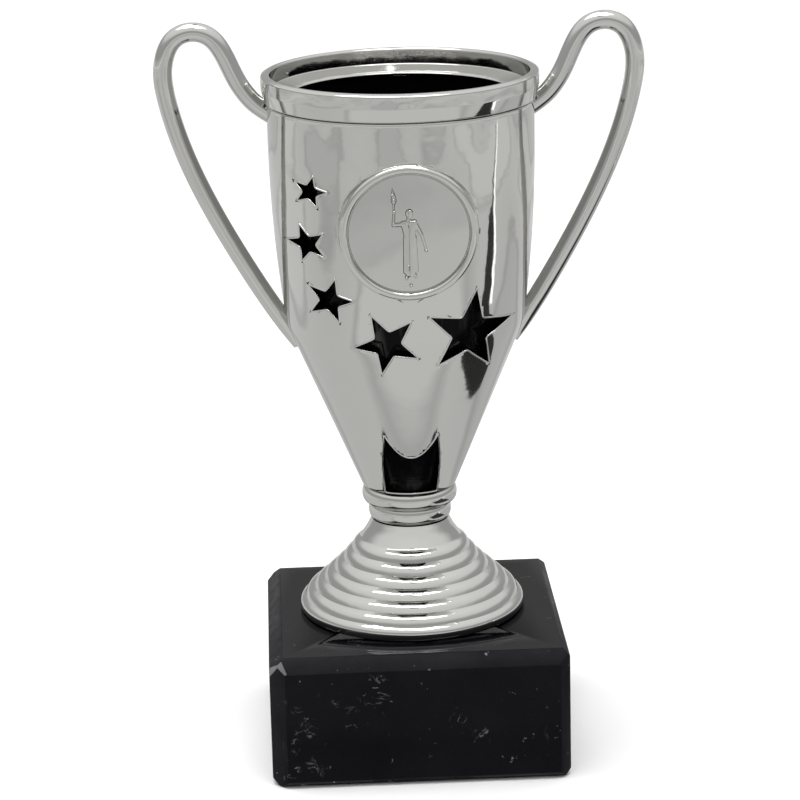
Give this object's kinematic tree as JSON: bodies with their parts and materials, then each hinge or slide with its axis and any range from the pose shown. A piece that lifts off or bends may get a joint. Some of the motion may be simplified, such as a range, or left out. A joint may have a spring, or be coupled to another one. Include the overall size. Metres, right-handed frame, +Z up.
{
  "type": "cup trophy",
  "caption": "Two-handled bright cup with an arc of star windows and a round emblem holder, on a ringed foot and a black marble block.",
  "frame": {"origin": "centre of the marble block's underside", "axes": "+Z up; -Y is the front, where the emblem and the stars are; +X is the viewer's right, and the two handles lie along X"},
  "size_m": [0.1032, 0.0636, 0.1583],
  "materials": {
    "black_marble": "polished",
    "bright_metallised": "gloss",
    "black_plastic": "gloss",
    "zinc_steel": "satin"
  },
  "bodies": {
    "root": {"marble_base": "black_marble", "foot_shell": "bright_metallised", "neck_collar": "bright_metallised", "cup_shell": "bright_metallised", "rim_ring": "bright_metallised", "left_handle": "bright_metallised", "right_handle": "bright_metallised", "emblem_disc": "bright_metallised", "liner": "black_plastic", "threaded_rod": "zinc_steel", "lower_washer": "zinc_steel", "lower_nut": "zinc_steel", "upper_washer": "zinc_steel", "upper_nut": "zinc_steel"}
  },
  "joints": []
}
